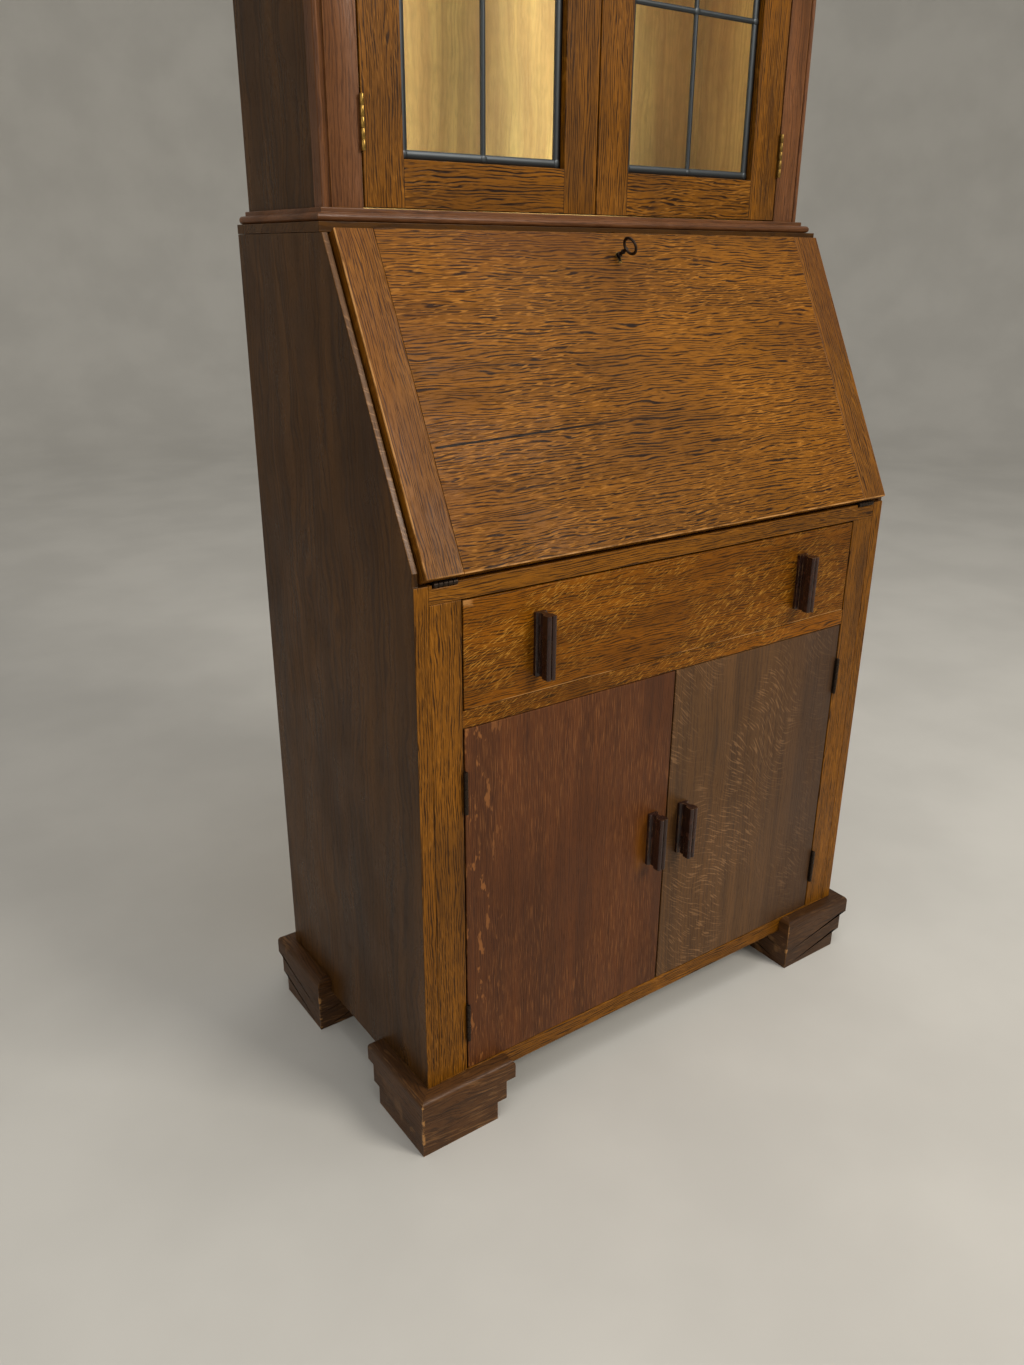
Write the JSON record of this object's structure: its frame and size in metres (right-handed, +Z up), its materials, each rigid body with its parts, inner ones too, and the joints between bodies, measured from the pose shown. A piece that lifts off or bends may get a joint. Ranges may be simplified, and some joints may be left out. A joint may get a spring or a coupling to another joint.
{
  "type": "secretary desk",
  "caption": "Oak bureau with a sloping fall, a full-width drawer, a two-door cupboard and stepped bracket feet, under a bookcase with two leaded-glass doors.",
  "frame": {"origin": "middle of the overall bounding box, on the floor", "axes": "+X to the right seen from the front, +Y to the back, +Z up; the front faces -Y"},
  "size_m": [0.802, 0.432, 1.971],
  "materials": {
    "oak": "satin polished oak",
    "dark_oak": "dark stained oak, satin",
    "brown_oak": "brown stained oak, satin",
    "plain_wood": "pale, thinly sealed",
    "handle_wood": "near-black stain, polished",
    "brass": "aged",
    "steel": "dark, aged",
    "leaded_glass": "clear panes in lead cames"
  },
  "bodies": {
    "carcass": {"side_left": "dark_oak", "side_right": "dark_oak", "stile_left": "oak", "stile_right": "oak", "top_rail": "oak", "drawer_frame": "oak", "bottom_board": "oak", "cupboard_shelf": "plain_wood", "bureau_back": "plain_wood", "writing_bed": "oak", "bureau_top": "dark_oak", "pigeonholes": "plain_wood", "foot_front_left": "brown_oak", "foot_front_right": "brown_oak", "foot_back_left": "brown_oak", "foot_back_right": "brown_oak", "fall_hinge_left": "steel", "fall_hinge_right": "steel", "cupboard_hinge_left_lower": "steel", "cupboard_hinge_left_upper": "steel", "cupboard_hinge_right_lower": "steel", "cupboard_hinge_right_upper": "steel", "bookcase_base": "dark_oak", "bookcase_top": "dark_oak", "bookcase_face_frame": "brown_oak", "bookcase_side_left": "dark_oak", "bookcase_side_right": "dark_oak", "bookcase_back": "plain_wood", "bookcase_shelf": "plain_wood", "glass_hinge_left_lower": "brass", "glass_hinge_left_upper": "brass", "glass_hinge_right_lower": "brass", "glass_hinge_right_upper": "brass"},
    "fall": {"fall_panel": "oak", "fall_clamp_left": "oak", "fall_clamp_right": "oak", "fall_lock": "brass"},
    "key": {"key": "steel"},
    "lock_bolt": {"lock_bolt": "steel"},
    "drawer": {"drawer_front": "oak", "drawer_side_left": "plain_wood", "drawer_side_right": "plain_wood", "drawer_back": "plain_wood", "drawer_bottom": "plain_wood", "drawer_handle_left": "handle_wood", "drawer_handle_right": "handle_wood"},
    "cupboard_door_left": {"cupboard_door_left": "brown_oak", "cupboard_handle_left": "handle_wood"},
    "cupboard_door_right": {"cupboard_door_right": "brown_oak", "cupboard_handle_right": "handle_wood"},
    "glass_door_left": {"glass_door_frame_left": "oak", "leaded_light_left": "leaded_glass", "glass_door_handle_left": "handle_wood"},
    "glass_door_right": {"glass_door_frame_right": "oak", "leaded_light_right": "leaded_glass", "glass_door_handle_right": "handle_wood"},
    "stay_arm_left": {"stay_arm_left": "brass"},
    "stay_arm_right": {"stay_arm_right": "brass"},
    "stay_link_left": {"stay_link_left": "brass"},
    "stay_link_right": {"stay_link_right": "brass"}
  },
  "joints": [
    {"name": "fall_hinge", "type": "hinge", "parent": "carcass", "child": "fall", "pos_m": [0, -0.19, 0.727], "axis": [1, 0, 0], "range_deg": [0, 116.84]},
    {"name": "key_turn", "type": "hinge", "parent": "fall", "child": "key", "pos_m": [0, -0.03757, 1.03927], "axis": [0, -0.8923, 0.4515], "range_deg": [-180, 0]},
    {"name": "lock_bolt_slide", "type": "slide", "parent": "fall", "child": "lock_bolt", "axis": [0, 0.4515, 0.8923], "range_m": [0, 0.008]},
    {"name": "drawer_slide", "type": "slide", "parent": "carcass", "child": "drawer", "axis": [0, -1, 0], "range_m": [0, 0.26]},
    {"name": "cupboard_door_left_hinge", "type": "hinge", "parent": "carcass", "child": "cupboard_door_left", "pos_m": [-0.3208, -0.1933, 0.32], "axis": [0, 0, -1], "range_deg": [0, 110]},
    {"name": "glass_door_left_hinge", "type": "hinge", "parent": "carcass", "child": "glass_door_left", "pos_m": [-0.3158, -0.0033, 1.5], "axis": [0, 0, -1], "range_deg": [0, 110]},
    {"name": "stay_arm_left_pivot", "type": "hinge", "parent": "carcass", "child": "stay_arm_left", "pos_m": [-0.35995, -0.05, 0.77], "axis": [1, 0, 0], "range_deg": [0, 123.4]},
    {"name": "stay_link_left_pivot", "type": "hinge", "parent": "fall", "child": "stay_link_left", "pos_m": [-0.35665, -0.11251, 0.84911], "axis": [1, 0, 0], "range_deg": [-125.2, 0]},
    {"name": "cupboard_door_right_hinge", "type": "hinge", "parent": "carcass", "child": "cupboard_door_right", "pos_m": [0.3208, -0.1933, 0.32], "axis": [0, 0, 1], "range_deg": [0, 110]},
    {"name": "glass_door_right_hinge", "type": "hinge", "parent": "carcass", "child": "glass_door_right", "pos_m": [0.3158, -0.0033, 1.5], "axis": [0, 0, 1], "range_deg": [0, 110]},
    {"name": "stay_arm_right_pivot", "type": "hinge", "parent": "carcass", "child": "stay_arm_right", "pos_m": [0.35995, -0.05, 0.77], "axis": [1, 0, 0], "range_deg": [0, 123.4]},
    {"name": "stay_link_right_pivot", "type": "hinge", "parent": "fall", "child": "stay_link_right", "pos_m": [0.35665, -0.11251, 0.84911], "axis": [1, 0, 0], "range_deg": [-125.2, 0]}
  ],
  "couplings": [
    {"joint": "key_turn", "follows": "lock_bolt_slide", "rad_per_m": -392.6},
    {"joint": "stay_arm_left_pivot", "follows": "fall_hinge", "ratio": 1.0541},
    {"joint": "stay_link_left_pivot", "follows": "fall_hinge", "ratio": -1.0696},
    {"joint": "stay_arm_right_pivot", "follows": "fall_hinge", "ratio": 1.0541},
    {"joint": "stay_link_right_pivot", "follows": "fall_hinge", "ratio": -1.0696}
  ]
}
